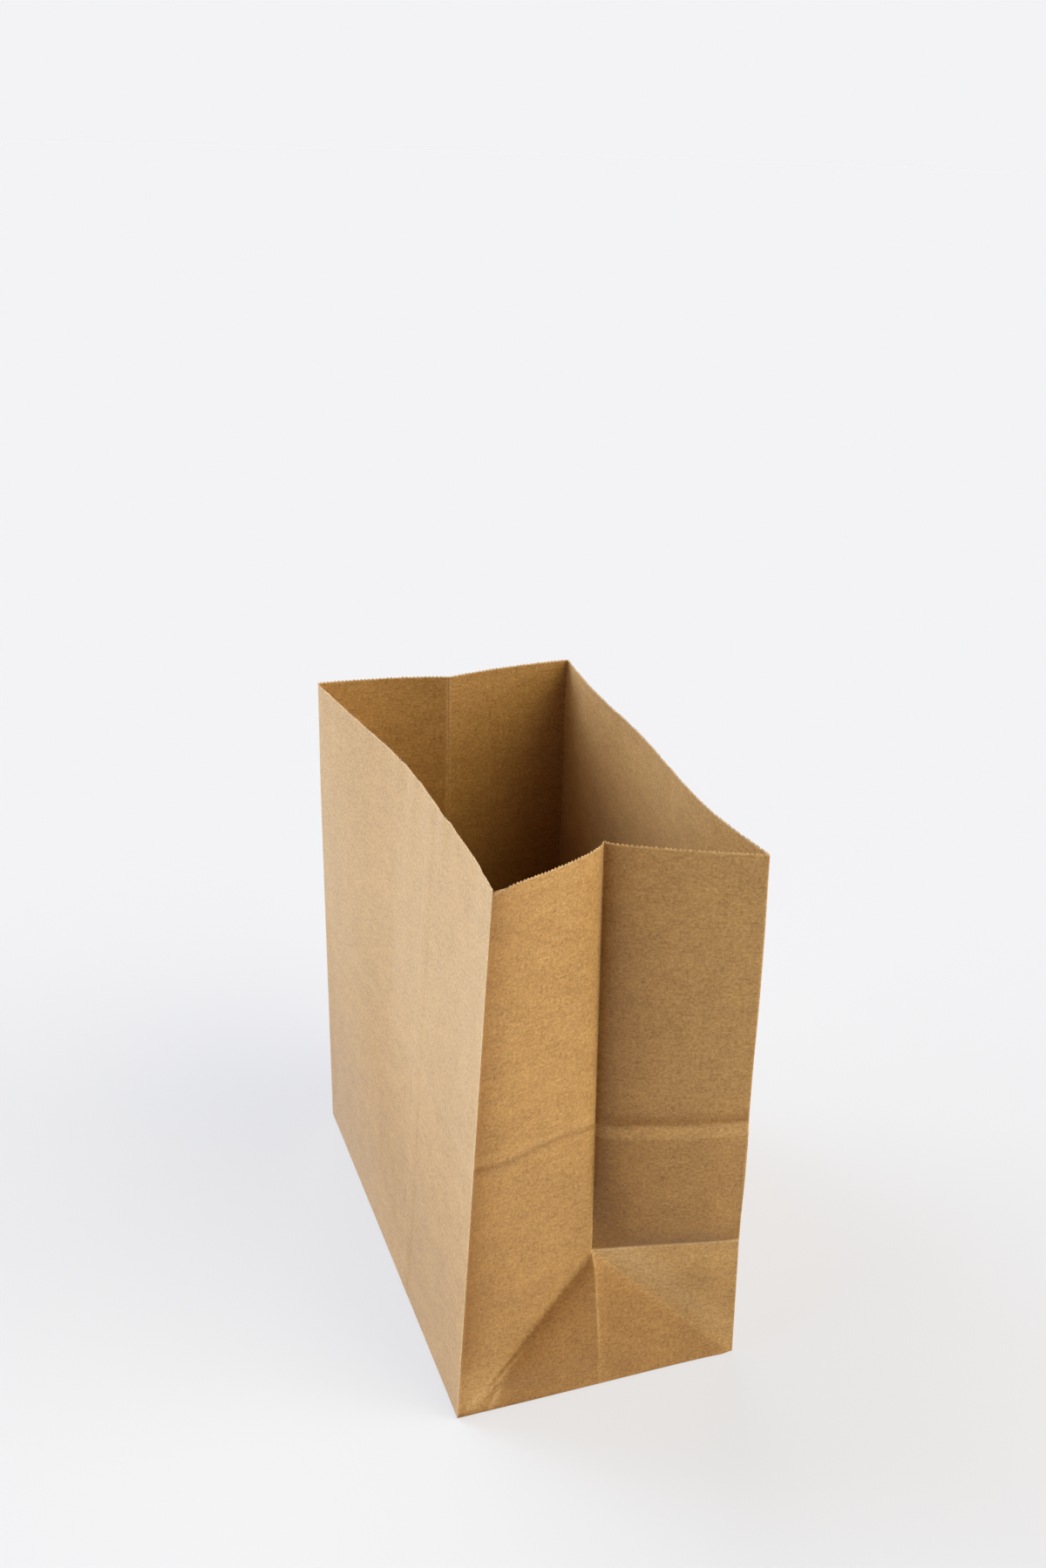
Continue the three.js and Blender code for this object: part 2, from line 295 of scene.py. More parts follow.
def press_marks(u, h):
    """How far the paper stands out of its plain panels, in metres, outwards positive: the sum of
    soft vertical waves, the swelling beside creases, and the steps left by the folded bottom."""
    out = np.zeros_like(u)
    front = u < FRONT_NEAR
    near_front = (u >= FRONT_NEAR) & (u < GUSSET_NEAR)
    near_back = (u >= GUSSET_NEAR) & (u < BACK_NEAR)
    back = (u >= BACK_NEAR) & (u < BACK_FAR)
    far_back = (u >= BACK_FAR) & (u < GUSSET_FAR)
    lift = step(h, 0.0, 0.06) * (1 - 0.7 * step(h, 0.29, HEIGHT))
    edge_fade = np.ones_like(u)
    for at in (0, FRONT_NEAR, GUSSET_NEAR, BACK_NEAR, BACK_FAR, GUSSET_FAR, AROUND):
        edge_fade = edge_fade * step(np.abs(u - at), 0.0, 0.02)
    ripple = sum(a * np.sin(ku * u + kh * h + ph) for ku, kh, ph, a in RIPPLES)
    out += 0.00016 * ripple * lift * edge_fade
    # front panel: faint upright waves, and a shallow flute beside its middle
    x = u - WIDTH / 2
    flute = 0.00020 * bell(x + 0.018, 0.007) - 0.00016 * bell(x - 0.006, 0.009)
    out += np.where(front, -flute * step(h, 0.11, 0.2) * lift, 0)
    out += np.where(front, 0.0003 * (step(h, 0.166, 0.175) - 0.5) * edge_fade, 0)
    # small buckles along the rims of both broad panels, and one kink in the front one
    buckle = 0.00015 * np.sin(u / 0.0085 + 2.6 * np.sin(u / 0.023)) + 0.00009 * np.sin(u / 0.0041)
    out += np.where(front | back, buckle * step(h, 0.29, HEIGHT) * edge_fade, 0)
    kink = bell(u - 0.216, 0.006) - 0.7 * bell(u - 0.229, 0.007)
    out += np.where(front, 0.0005 * kink * step(h, 0.315, HEIGHT), 0)
    # pleat: pressed in hard behind the front corner, swelling towards its centre crease
    behind_edge = swell(u - FRONT_NEAR, (0.0005, 0.003), (0.0007, 0.008))
    out += np.where(near_front, -behind_edge * (1 - 0.5 * step(h, 0.3, HEIGHT)), 0)
    over = step(h, CREASE_HEIGHT, 0.14)
    out += np.where(near_front, swell(GUSSET_NEAR - u, (0.0022, 0.012)) * over, 0)
    over_back = over * (1 - 0.55 * step(h, 0.29, HEIGHT))
    beside_centre = swell(u - GUSSET_NEAR, (0.0022, 0.009), (0.0032, 0.028))
    out += np.where(near_back, beside_centre * over_back, 0)
    rise = np.clip((h - CREASE_HEIGHT) / (HEIGHT - CREASE_HEIGHT), 0, 1)
    across = np.clip((BACK_NEAR - u) / (DEPTH / 2), 0, 1)
    belly = np.sin(np.pi * across) * np.sin(np.pi * rise)
    out += np.where(near_back, 0.0015 * belly, 0)
    # the crease of the once folded-up bottom is a valley, with the paper swelling to both sides
    creased = near_back | back | far_back
    q = np.where(near_back, (BACK_NEAR - u) / (DEPTH / 2), 0)
    q = np.where(far_back, (u - BACK_FAR) / (DEPTH / 2), q)
    from_corner = np.minimum(np.abs(u - BACK_NEAR), np.abs(u - BACK_FAR))
    side = (1 - step(q, 0.75, 1.0)) * step(from_corner, 0.0, 0.022)
    low = step(h, 0.0, 0.03)
    beside = swell(h - CREASE_HEIGHT, (0.0036, 0.016))
    beside = beside + swell(CREASE_HEIGHT - h, (0.0024, 0.024))
    out += np.where(creased, beside * side * low, 0)
    # the pleat's triangle stands out from both diagonals, most beside the front one, and so does
    # the front half above its diagonal
    q, under = near_pleat(u, h)
    height = 0.0034 - 0.0022 * step(u, GUSSET_NEAR - 0.02, GUSSET_NEAR + 0.04)
    risen = 1 - np.exp(-np.clip(under, 0, None) / 0.013)
    out += (near_front | near_back) * height * risen * low
    inner_q = step(q, 0.1, 0.5)
    out += near_front * swell(under, (0.0022, 0.009)) * inner_q * low
    out += np.where(near_front, swell(-under, (0.0010, 0.009)) * inner_q * (1 - over), 0)
    # the free edge of the folded-up bottom left a pressed band round the pleat
    band = step(h, BAND_LOW, BAND_HIGH)
    out += np.where(near_back, -0.0009 * band * (1 - step(h, 0.20, 0.26)), 0)
    ridge = bell(h - BAND_HIGH, 0.0022) - 0.8 * bell(h - BAND_LOW + 0.001, 0.0022)
    out += np.where(near_back, 0.00030 * ridge, 0)
    wavy = step(above_wavy_line(u, h), -0.004, 0.003) - 0.5
    out += np.where(near_front, 0.0009 * wavy * over * edge_fade, 0)
    out += np.where(far_back | back, -0.0004 * band, 0)
    # below the apex the centre crease goes on as a low ridge, and soft creases fan into a corner
    for centre in (GUSSET_NEAR, GUSSET_FAR):
        across = u - centre
        below = 1 - step(h, 0.9 * CREASE_HEIGHT, CREASE_HEIGHT)
        out += 0.00038 * bell(across, 0.0024) * below * step(h, 0.0, 0.008)
        out += 0.0010 * bell(across, 0.012) * below * step(h, 0.0, 0.04)
    fan = beside_fan(u, h, *FRONT_FANS[0])
    out += np.where(near_front, 0.00022 * bell(fan, 0.003) * bell(h - 0.018, 0.014), 0)
    fan = beside_fan(u, h, *FRONT_FANS[1])
    out += np.where(near_front, 0.00020 * bell(fan, 0.0022) * bell(h - 0.008, 0.012), 0)
    fan = (BACK_NEAR - u) - h
    out += np.where(near_back, 0.00030 * bell(fan, 0.002) * bell(h - 0.012, 0.012), 0)
    return out


CUT_EDGE = 0.0005  # the seam's outer layer rises over this length and dies away over the next
SOFT_EDGE = 0.002


def lap_layer(u):
    """1 over the lap seam: a cut edge towards the far corner, a soft fall at the other side."""
    rise = step(u, SEAM_START, SEAM_START + CUT_EDGE)
    return rise * (1 - step(u, SEAM_END - SOFT_EDGE, SEAM_END))


def stops(start, end, cell, tight=(0.0004, 0.001, 0.0018)):
    """Positions from start to end, cell apart, with close ones beside both ends."""
    count = max(2, round((end - start) / cell))
    plain = np.linspace(start, end, count + 1)[:-1]
    close = np.array(tight)
    spots = np.unique(np.concatenate([plain, start + close, end - close]).round(7))
    return spots[(spots >= start) & (spots < end)]


# columns follow u and rows follow h; both halves of a pleat and the rows below the apex share
# their positions, so that the diagonal folds run through grid points
half_columns = stops(0.0, DEPTH / 2, 0.0025)
low_rows = np.unique(np.concatenate([half_columns, DEPTH / 2 - half_columns]).round(7))
half_columns = low_rows[:-1]
front_columns = stops(0.0, WIDTH, 0.0036)
seam_columns = np.array([-0.0005, 0, 0.00025, 0.0005, 0.001, 0.006, 0.012, 0.013]) + SEAM_START
clear = (front_columns < SEAM_START - 0.001) | (front_columns > SEAM_END + 0.001)
front_columns = np.sort(np.concatenate([front_columns[clear], seam_columns, [SEAM_END]]))
columns = np.concatenate([
    front_columns,
    FRONT_NEAR + half_columns,
    GUSSET_NEAR + half_columns,
    BACK_NEAR + stops(0.0, WIDTH, 0.0044),
    BACK_FAR + half_columns,
    GUSSET_FAR + half_columns,
])
high_rows = np.concatenate([
    CREASE_HEIGHT + np.array([0.0004, 0.001, 0.0018, 0.0035]),
    np.arange(0.0935, 0.158, 0.0046),
    np.arange(0.1605, 0.177, 0.0015),
    np.arange(0.1805, 0.322, 0.0052),
    np.array([0.3255, 0.3295, 0.3325, 0.335, 0.3370, 0.3382]),
])
FOLD_RADIUS = 0.0012
FOLD_RINGS = 5
UNDERSIDE = 2 * PAPER  # the two pasted flaps lie under the turned-in walls
start_height = UNDERSIDE + FOLD_RADIUS
rows = np.concatenate([[start_height], low_rows[low_rows > start_height + 0.0005], high_rows])


def sheet_grid(u, h):
    """Points of the pressed sheet for every h (rows) and u (columns), without the lap's layer,
    and the outward direction at each."""
    uu, hh = np.meshgrid(u, h)
    shape = rounded_sheet(uu, hh)
    d = 0.0008  # directions are measured this far to each side
    along = rounded_sheet(np.mod(uu + d, AROUND), hh) - rounded_sheet(np.mod(uu - d, AROUND), hh)
    rise = rounded_sheet(uu, hh + d) - rounded_sheet(uu, np.clip(hh - d, 0, None))
    out = np.cross(along, rise)
    out = out / np.linalg.norm(out, axis=-1, keepdims=True)
    return shape + out * press_marks(np.mod(uu, AROUND), hh)[..., None], out


wall, wall_out = sheet_grid(columns, rows)
n_rows, n_columns = wall.shape[:2]

# toothed rim: half teeth between neighbouring columns, tips and notches by turns. The rim dips
# beside the front near corner, where the pleat was cut at a slant.
TOOTH = 0.00222
TOOTH_DEPTH = 0.00095
RIM_DIP = 0.0042
RIM_START = HEIGHT - 0.0005
gaps = np.diff(np.append(columns, AROUND))
half_teeth = np.maximum(1, np.round(gaps / (TOOTH / 2))).astype(int)
if half_teeth.sum() % 2:
    half_teeth[np.argmax(gaps)] += 1
rim_column = np.repeat(np.arange(n_columns), half_teeth)
within = np.arange(half_teeth.sum()) - np.repeat(np.cumsum(half_teeth) - half_teeth, half_teeth)
rim_u = columns[rim_column] + gaps[rim_column] * within / half_teeth[rim_column]
rough = rng.uniform(-0.00020, 0.00016, rim_u.size)
rim_h = HEIGHT - TOOTH_DEPTH * (np.arange(rim_u.size) % 2) + rough
rim_h -= RIM_DIP * bell(rim_u - FRONT_NEAR, 0.010) * (rim_u > FRONT_NEAR - 0.0003)
rim_shape, rim_out = sheet_grid(rim_u, np.array([RIM_START]))
rim_edge = sheet_grid(rim_u, np.array([HEIGHT]))[0]
rim_rise = (rim_edge - sheet_grid(rim_u, np.array([HEIGHT - 0.001]))[0])[0] / 0.001
rim_points = rim_shape[0] + rim_rise * (rim_h - RIM_START)[:, None]
n_rim = rim_u.size


def fold_rings(radius):
    """Quarter circle under the wall's foot: a point at angle a is the foot's inset line plus
    radius * sin(a) outwards, and radius * cos(a) below the centre of the fold. The fold is wider
    round the front near corner."""
    foot = wall[0].copy()
    wide = FOLD_RADIUS * (1 + 1.3 * bell(columns - FRONT_NEAR, 0.03))
    inset = foot.copy()
    inset[:, 0] *= 1 - wide / (WIDTH / 2)
    inset[:, 1] *= 1 - wide / (DEPTH / 2)
    rings = []
    for a in np.linspace(0, np.pi / 2, FOLD_RINGS + 1)[:-1]:
        ring = inset + (foot - inset) * np.sin(a) * radius / FOLD_RADIUS
        ring[:, 2] = start_height - np.cos(a) * radius
        rings.append(ring)
    return np.array(rings)


def skin_points(depth):
    """One face of the sheet, at a depth below its outside: bottom centre, fold rings, wall rows
    and toothed rim."""
    lap = lap_layer(columns) * PAPER * (depth == 0)
    radius = FOLD_RADIUS - depth
    rings = fold_rings(radius)
    face = wall + wall_out * (lap[None, :, None] - depth)
    rim_lap = lap_layer(rim_u) * PAPER * (depth == 0)
    edge = rim_points + rim_out[0] * (rim_lap[:, None] - depth)
    centre = np.array([[0, 0, start_height - radius]])
    return np.concatenate([centre, rings.reshape(-1, 3), face.reshape(-1, 3), edge])


def skin_faces():
    """Triangles of one face, outwards. Quads are cut so that the pleats' diagonal folds lie on
    edges: along the first half of each pleat the cut rises, along the second it falls."""
    n = n_columns
    i = np.arange(n)
    j = (i + 1) % n
    bottom = np.stack([np.zeros(n, int), 1 + j, 1 + i], 1)
    n_rings = FOLD_RINGS + n_rows
    r = np.arange(n_rings - 1)[:, None]
    a, b = 1 + r * n + i, 1 + r * n + j
    c, d = b + n, a + n
    falls = ((columns >= GUSSET_NEAR) & (columns < BACK_NEAR)) | (columns >= GUSSET_FAR)
    first = np.where(falls[None, :, None], np.stack([a, b, d], -1), np.stack([a, b, c], -1))
    second = np.where(falls[None, :, None], np.stack([b, c, d], -1), np.stack([a, c, d], -1))
    last = 1 + (n_rings - 1) * n
    k = np.arange(n_rim)
    k2 = (k + 1) % n_rim
    rim0 = 1 + n_rings * n
    fans = np.stack([last + rim_column, rim0 + k2, rim0 + k], 1)
    turn = rim_column != rim_column[k2]
    gap_faces = np.stack([last + rim_column, last + rim_column[k2], rim0 + k2], 1)[turn]
    return np.concatenate([bottom, first.reshape(-1, 3), second.reshape(-1, 3), fans, gap_faces])


# the walls: an outer face, an inner face turned the other way, and the cut edge between them
faces = skin_faces()
points = np.concatenate([skin_points(0.0), skin_points(PAPER)])
shift = len(points) // 2
rim_start = shift - n_rim
k = rim_start + np.arange(n_rim)
k2 = rim_start + (np.arange(n_rim) + 1) % n_rim
edge_a = np.stack([k, k2, shift + k2], 1)
edge_b = np.stack([k, shift + k2, shift + k], 1)
triangles = np.concatenate([faces, faces[:, ::-1] + shift, edge_a, edge_b])

# sheet coordinates of every point, for the paper's marks: u round the tube and h up it
ring_h = np.concatenate([np.linspace(-0.0016, 0, FOLD_RINGS + 1)[:-1], rows])
skin_u = np.concatenate([[0], np.tile(columns, ring_h.size), rim_u])
skin_h = np.concatenate([[-0.05], np.repeat(ring_h, n_columns), rim_h])
sheet_u, sheet_h = np.tile(skin_u, 2), np.tile(skin_h, 2)


def bottom_layer(outline_x, outline_y, low, high, far_off):
    """A flat closed layer between two heights, from a grid of x and y (rows by columns). Gives
    its points, its triangles, and sheet coordinates that lie far off from the walls'."""
    m, n = outline_x.shape
    size = m * n
    flat = np.stack([outline_x.ravel(), outline_y.ravel()], 1)
    both = np.concatenate([np.column_stack([flat, np.full(size, z)]) for z in (high, low)])
    a = (np.arange(m - 1)[:, None] * n + np.arange(n - 1)).ravel()
    up = np.concatenate([np.stack([a, a + 1, a + n + 1], 1), np.stack([a, a + n + 1, a + n], 1)])
    loop = np.concatenate([
        np.arange(n - 1), np.arange(m - 1) * n + n - 1,
        (m - 1) * n + np.arange(n - 1, 0, -1), np.arange(m - 1, 0, -1) * n,
    ])
    following = np.roll(loop, -1)
    side_a = np.stack([loop + size, following + size, following], 1)
    side_b = np.stack([loop + size, following, loop], 1)
    closed = np.concatenate([up, up[:, ::-1] + size, side_a, side_b])
    if np.cross(flat[1] - flat[0], flat[n] - flat[0]) < 0:
        closed = closed[:, ::-1]
    return both, closed, np.tile(flat[:, 0] + far_off, 2), np.tile(flat[:, 1] - 1.0, 2)


# folded bottom: two flaps with mitred ends and toothed free edges, pasted one over the other,
# and inside the bag the two gusset strips that were folded in before them
OVERLAP = 0.020
INSET_X = WIDTH / 2 - FOLD_RADIUS
INSET_Y = DEPTH / 2 - FOLD_RADIUS
FLAP = DEPTH / 2 + OVERLAP - FOLD_RADIUS
FLOOR = UNDERSIDE + PAPER
PASTED = 0.00002  # neighbouring layers sink this far into each other
across = np.linspace(-1, 1, 83)
down = np.linspace(0, 1, 12)[:, None]
free_edge = down == 1
strip_y = np.linspace(-INSET_Y, INSET_Y, 155)
layers = []
for side, low in ((-1, 0.0), (1, PAPER)):
    reach = down * (FLAP - TOOTH_DEPTH * (np.arange(across.size) % 2) * free_edge)
    flap_x = side * across * (INSET_X - down * FLAP)
    layers.append(bottom_layer(flap_x, side * (reach - INSET_Y), low, UNDERSIDE + PASTED, 2.0))
for side in (1, -1):
    reach = down * (FLAP - TOOTH_DEPTH * (np.arange(strip_y.size) % 2) * free_edge)
    spread = np.broadcast_to(strip_y, reach.shape)
    strip_x = side * (INSET_X - reach)
    layers.append(bottom_layer(strip_x, spread, FLOOR - PASTED, FLOOR + PAPER, 4.0))
for layer_points, layer_triangles, layer_u, layer_h in layers:
    triangles = np.concatenate([triangles, layer_triangles + len(points)])
    points = np.concatenate([points, layer_points])
    sheet_u = np.concatenate([sheet_u, layer_u])
    sheet_h = np.concatenate([sheet_h, layer_h])

mesh = bpy.data.meshes.new("paper_bag_sheet")
mesh.vertices.add(len(points))
mesh.vertices.foreach_set("co", points.astype(np.float32).ravel())
mesh.loops.add(triangles.size)
mesh.loops.foreach_set("vertex_index", triangles.astype(np.int32).ravel())
mesh.polygons.add(len(triangles))
mesh.polygons.foreach_set("loop_start", np.arange(0, triangles.size, 3, dtype=np.int32))
mesh.polygons.foreach_set("loop_total", np.full(len(triangles), 3, dtype=np.int32))
mesh.update(calc_edges=True)
mesh.validate()

# the sheet coordinates become the UV map, carried on past the last column where a triangle wraps
corner_u = sheet_u[triangles]
wraps = (corner_u.max(1) > 0.9) & (corner_u.max(1) < 1.0)
corner_u = np.where(wraps[:, None] & (corner_u < 0.1), corner_u + AROUND, corner_u)
uv = np.stack([corner_u, sheet_h[triangles]], -1)
layer = mesh.uv_layers.new(name="sheet")
layer.data.foreach_set("uv", uv.astype(np.float32).ravel())
mesh.polygons.foreach_set("use_smooth", np.arange(len(triangles)) < 2 * len(faces))
bag = bpy.data.objects.new("paper_bag_sheet", mesh)
bpy.context.collection.objects.link(bag)


# ---- wear and painted light: where the paper is worn pale along its creases and cut edges, or
# painted paler where light falls (positive), or painted darker where shade falls (negative), as one
# value at every point
def marks_and_painted_light(u, h):
    """Sum of bells across the upright folds, the pleats' folds, the bottom crease, the band, the
    wavy line and the fans, less exponentials of painted shade that fall off from each hollow;
    several terms are painted light and painted shade, not wear."""
    u = np.mod(u, AROUND)
    front = u < FRONT_NEAR
    near_front = (u >= FRONT_NEAR) & (u < GUSSET_NEAR)
    near_back = (u >= GUSSET_NEAR) & (u <= BACK_NEAR)
    creased = (u >= GUSSET_NEAR) & (u <= GUSSET_FAR)
    value = np.zeros_like(u)
    # upright folds worn pale, the front near one the most, where the pale line is also a painted
    # highlight along the edge
    for at, much in ((0, 0.5), (BACK_NEAR, 0.4), (BACK_FAR, 0.4), (AROUND, 0.5)):
        value += much * bell(u - at, 0.0010)
    value += 1.2 * bell(u - FRONT_NEAR + 0.0005, 0.0009)
    # bottom crease, patchy along its length: worn fibres and a painted highlight
    patchy = 0.6 + 0.4 * np.sin(u / 0.013) * np.sin(h / 0.017 + 1)
    value += creased * 1.1 * patchy * bell(h - CREASE_HEIGHT - 0.0002, 0.0010)
    # centre creases of both pleats, and the lower ends of their diagonals
    for centre, much in ((GUSSET_NEAR, 0.2), (GUSSET_FAR, 0.75)):
        q = 1 - np.abs(u - centre) / (DEPTH / 2)
        below = 1 - step(h, CREASE_HEIGHT - 0.002, CREASE_HEIGHT + 0.002)
        value += (much * (1 - below) + 0.5 * patchy * below) * bell(u - centre, 0.0012)
        near_corner = bell(q, 0.3) * step(h, 0, 0.01)
        value += (q > 0) * 0.5 * bell(h - q * CREASE_HEIGHT, 0.0016) * below * near_corner
    # painted shade just above the bottom crease, painted light just below it
    above = np.clip(h - CREASE_HEIGHT, 0, None)
    painted_crease_shade = 0.35 * np.exp(-above / 0.008) + 0.27 * np.exp(-above / 0.09)
    value -= creased * (above > 0.001) * painted_crease_shade
    value += creased * 0.40 * (above == 0) * bell(h - CREASE_HEIGHT, 0.022)
    # painted shade in the valley beside the near pleat's centre crease
    over = step(h, CREASE_HEIGHT, CREASE_HEIGHT + 0.004)
    value -= near_back * over * 0.9 * np.exp(-np.clip(u - GUSSET_NEAR, 0, None) / 0.024)
    # painted shade on the near pleat's triangle, most under its front diagonal, with a rubbed patch
    # above
    q, under = near_pleat(u, h)
    shaded = (under > 0.0008) * np.exp(-np.clip(under, 0, None) / 0.024) * step(q, 0.1, 0.4)
    value -= (near_front * 0.6 + near_back * 0.3 * step(q, 0.5, 0.9)) * shaded
    value += near_back * 0.40 * (under < 0) * (above == 0) * bell(under + 0.011, 0.011)
    value -= (near_front | near_back) * 0.2 * step(under, 0.0, 0.004)
    # painted shade towards the base and behind the front corner, and a painted sheen that makes the
    # front panel paler up its height
    value -= 0.3 * (1 - step(h, 0.03, 0.26))
    value -= near_front * 0.9 * np.exp(-np.clip(u - FRONT_NEAR, 0, None) / 0.013)
    value += front * 0.45 * step(h, 0.04, 0.24)
    # paler round the base corner, over a foot in painted shade
    pale_round_corner = bell(np.hypot(u - FRONT_NEAR - 0.008, h - 0.012), 0.022)
    value += near_front * 0.75 * pale_round_corner
    value -= near_front * 1.3 * bell(h + 0.0006, 0.0028) * bell(u - FRONT_NEAR, 0.040)
    # band, wavy line and fans
    inside = step(h, BAND_LOW - 0.001, BAND_LOW + 0.001)
    inside = inside - step(h, BAND_HIGH - 0.001, BAND_HIGH + 0.001)
    value += near_back * (0.35 * inside + 0.25 * bell(h - BAND_HIGH, 0.0009))
    value -= near_back * 0.5 * bell(h - BAND_HIGH - 0.0034, 0.0026)
    # the wavy line's dark line and pale upper edge are painted shade and painted light of its step
    wavy = above_wavy_line(u, h)
    value += near_front * (0.22 * bell(wavy - 0.004, 0.0022) - 0.35 * bell(wavy, 0.0024))
    fans = bell(beside_fan(u, h, *FRONT_FANS[0]), 0.0016) * bell(h - 0.018, 0.016)
    fans = fans + bell(beside_fan(u, h, *FRONT_FANS[1]), 0.0016) * bell(h - 0.008, 0.012)
    value += near_front * 0.8 * fans
    value -= near_back * 0.3 * bell((BACK_NEAR - u) - h, 0.0014) * bell(h - 0.012, 0.014)
    return value


CUT_EDGE_WEAR = 0.9
wear_and_painted_light = marks_and_painted_light(sheet_u, sheet_h) * (sheet_h > -0.01)
wear_and_painted_light[rim_start:shift] += CUT_EDGE_WEAR
wear_and_painted_light[shift + rim_start : 2 * shift] += CUT_EDGE_WEAR

# painted shade inside: darker towards the bottom, a little less in the far pleat, and on the back
# panel
inside_u, inside_h = sheet_u[shift : 2 * shift], sheet_h[shift : 2 * shift]
in_back = (inside_u >= BACK_NEAR) & (inside_u < BACK_FAR)
in_far_pleat = (inside_u >= BACK_FAR) & (inside_u < GUSSET_FAR)
wear_and_painted_light[shift : 2 * shift] -= (0.7 - 0.25 * in_far_pleat) * (1 - step(inside_h, 0.10, 0.345))
wear_and_painted_light[shift : 2 * shift] -= 0.3 * in_back * bell(inside_h - 0.27, 0.045)
# one attribute that holds the pale wear, the painted light and the painted shade
paint = mesh.attributes.new("wear_and_painted_light", "FLOAT", "POINT")
paint.data.foreach_set("value", wear_and_painted_light.astype(np.float32))

# ---- kraft paper: unbleached fibres pressed into a mottled sheet, with darker specks of bark,
# a faint sheen where it is seen from the side, and paler broken fibres along creases; the wear
# value also paints light paler and shade darker into the colour
material = bpy.data.materials.new("kraft_paper")
material.use_nodes = True
tree = material.node_tree
tree.nodes.clear()


def node(kind, **inputs):
    """A shader node with the given input values or links."""
    made = tree.nodes.new(kind)
    for name, value in inputs.items():
        socket = made.inputs[int(name[1:])] if name[1:].isdigit() else made.inputs[name]
        if isinstance(value, bpy.types.NodeSocket):
            tree.links.new(value, socket)
        else:
            socket.default_value = value
    return made


def maths(operation, *values):
    """One Math node; values are numbers or sockets."""
    made = node("ShaderNodeMath", **{f"i{k}": v for k, v in enumerate(values)})
    made.operation = operation
    return made.outputs[0]


def grain(scale_u, scale_v, detail, turn=0.0):
    """Noise over the sheet, with its own number of cells per metre along two directions, which
    are round and up the bag, turned by an angle in radians."""
    cell = (1 / scale_u, 1 / scale_v, 1)
    placed = node("ShaderNodeMapping", Vector=sheet_map.outputs[0], Scale=cell)
    placed.vector_type = "TEXTURE"
    placed.inputs["Rotation"].default_value = (0, 0, turn)
    made = node("ShaderNodeTexNoise", Vector=placed.outputs[0], Scale=1.0, Detail=detail)
    made.inputs["Roughness"].default_value = 0.55
    return made.outputs[0]


def ranged(value, low, high, to_low, to_high):
    """Maps low..high to to_low..to_high, clamped."""
    made = node("ShaderNodeMapRange", Value=value)
    for k, number in enumerate((low, high, to_low, to_high)):
        made.inputs[k + 1].default_value = number
    return made.outputs[0]


def blended(share, low, high, blend="MIX"):
    """Colour mix from low to high, or for MULTIPLY from low to low times high."""
    made = tree.nodes.new("ShaderNodeMix")
    made.data_type = "RGBA"
    made.blend_type = blend
    for socket, value in ((made.inputs[0], share), (made.inputs[6], low), (made.inputs[7], high)):
        if isinstance(value, bpy.types.NodeSocket):
            tree.links.new(value, socket)
        else:
            socket.default_value = value
    return made.outputs[2]


DARK_PULP = (0.250, 0.114, 0.025, 1)
LIGHT_PULP = (0.650, 0.380, 0.125, 1)
BARK = (0.16, 0.07, 0.025, 1)
PALE_FIBRE = (0.74, 0.52, 0.30, 1)
PALE_FIBRES_AND_PAINTED_LIGHT = (0.72, 0.50, 0.28, 1)
PAINTED_SHADE_TINT = (0.55, 0.42, 0.15, 1)
sheet_map = tree.nodes.new("ShaderNodeUVMap")
sheet_map.uv_map = "sheet"
wear_and_light_value = tree.nodes.new("ShaderNodeAttribute")
wear_and_light_value.attribute_name = "wear_and_painted_light"

blotch = grain(48, 75, 2.0)
cloud = grain(150, 260, 3.0)
mottle = grain(480, 620, 2.0)
fine = grain(1300, 1500, 1.0)
streaks = grain(420, 34, 2.0)
level_fibres = maths("ABSOLUTE", maths("SUBTRACT", grain(170, 820, 2.0, 0.15), 0.5))
rising_fibres = maths("ABSOLUTE", maths("SUBTRACT", grain(150, 880, 2.0, 1.05), 0.5))
falling_fibres = maths("ABSOLUTE", maths("SUBTRACT", grain(160, 850, 2.0, -0.85), 0.5))
wide = grain(11, 9, 2.0)
specks = ranged(grain(620, 520, 1.0), 0.70, 0.76, 0.0, 1.0)
pale_bits = ranged(grain(760, 420, 1.0), 0.68, 0.75, 0.0, 1.0)

tone = maths("ADD", ranged(cloud, 0.25, 0.75, -0.12, 0.12), ranged(mottle, 0.25, 0.75, -0.28, 0.28))
tone = maths("ADD", tone, ranged(fine, 0.25, 0.75, -0.20, 0.20))
tone = maths("ADD", tone, ranged(blotch, 0.25, 0.75, -0.09, 0.09))
tone = maths("ADD", tone, ranged(streaks, 0.25, 0.75, -0.04, 0.04))
tone = maths("ADD", tone, ranged(level_fibres, 0.0, 0.06, 0.08, 0.0))
tone = maths("ADD", tone, ranged(rising_fibres, 0.0, 0.06, 0.07, 0.0))
tone = maths("SUBTRACT", tone, ranged(falling_fibres, 0.0, 0.05, 0.06, 0.0))
tone = maths("ADD", tone, ranged(wide, 0.3, 0.7, -0.05, 0.05))
share = maths("ADD", tone, 0.48)
share.node.use_clamp = True
kraft = blended(share, DARK_PULP, LIGHT_PULP)
kraft = blended(maths("MULTIPLY", specks, 0.55), kraft, BARK)
kraft = blended(maths("MULTIPLY", pale_bits, 0.35), kraft, PALE_FIBRE)
# pale worn fibres, and painted light where the wear value is positive
pale_wear_and_painted_light = maths("MULTIPLY", wear_and_light_value.outputs["Fac"], ranged(mottle, 0.3, 0.7, 0.32, 0.62))
pale_wear_and_painted_light.node.use_clamp = True
kraft = blended(pale_wear_and_painted_light, kraft, PALE_FIBRES_AND_PAINTED_LIGHT)
# painted shade: where the wear value is negative the colour is multiplied darker
painted_shade = maths("MULTIPLY", wear_and_light_value.outputs["Fac"], -1.0)
painted_shade.node.use_clamp = True
kraft = blended(painted_shade, kraft, PAINTED_SHADE_TINT, "MULTIPLY")

